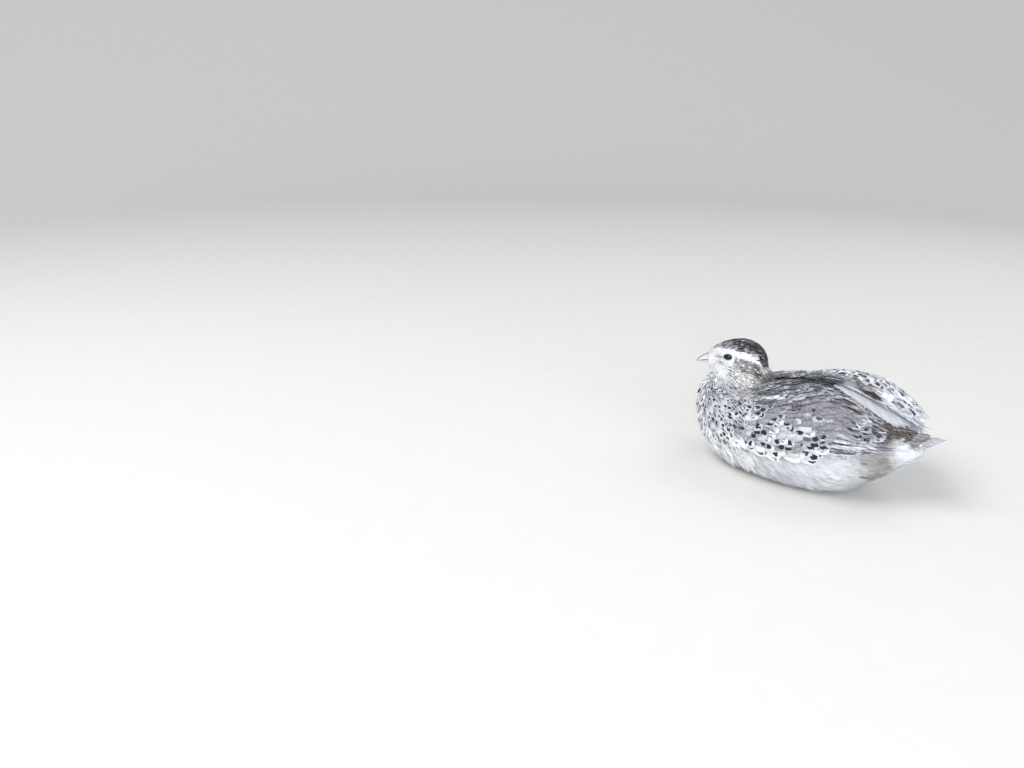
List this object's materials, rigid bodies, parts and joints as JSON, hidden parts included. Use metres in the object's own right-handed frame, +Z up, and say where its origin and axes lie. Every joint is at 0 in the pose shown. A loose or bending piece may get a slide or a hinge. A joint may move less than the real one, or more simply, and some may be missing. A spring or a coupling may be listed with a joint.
{
  "type": "coturnix quail model",
  "caption": "Life-size still model of a resting coturnix quail hen on its belly with head turned to its left, wings held loosely and short tail",
  "frame": {"origin": "on the floor under the middle of the whole bird's box", "axes": "+Z up, -Y towards the bill and breast, +Y towards the tail, +X to the bird's left"},
  "size_m": [0.1032, 0.1578, 0.0853],
  "materials": {
    "pale_plumage": "matt",
    "spotted_plumage": "matt",
    "bill_horn": "satin",
    "leg_skin": "satin",
    "eye": "gloss",
    "claw_horn": "satin"
  },
  "bodies": {
    "root": {"torso": "pale_plumage", "neck": "pale_plumage", "head": "spotted_plumage", "bill_upper": "bill_horn", "bill_lower": "bill_horn", "eye_left": "eye", "eye_right": "eye", "wing_left": "spotted_plumage", "wing_right": "spotted_plumage", "tail": "pale_plumage", "leg_left": "leg_skin", "leg_right": "leg_skin", "claw_left_1": "claw_horn", "claw_left_2": "claw_horn", "claw_left_3": "claw_horn", "claw_left_4": "claw_horn", "claw_right_1": "claw_horn", "claw_right_2": "claw_horn", "claw_right_3": "claw_horn", "claw_right_4": "claw_horn"}
  },
  "joints": []
}
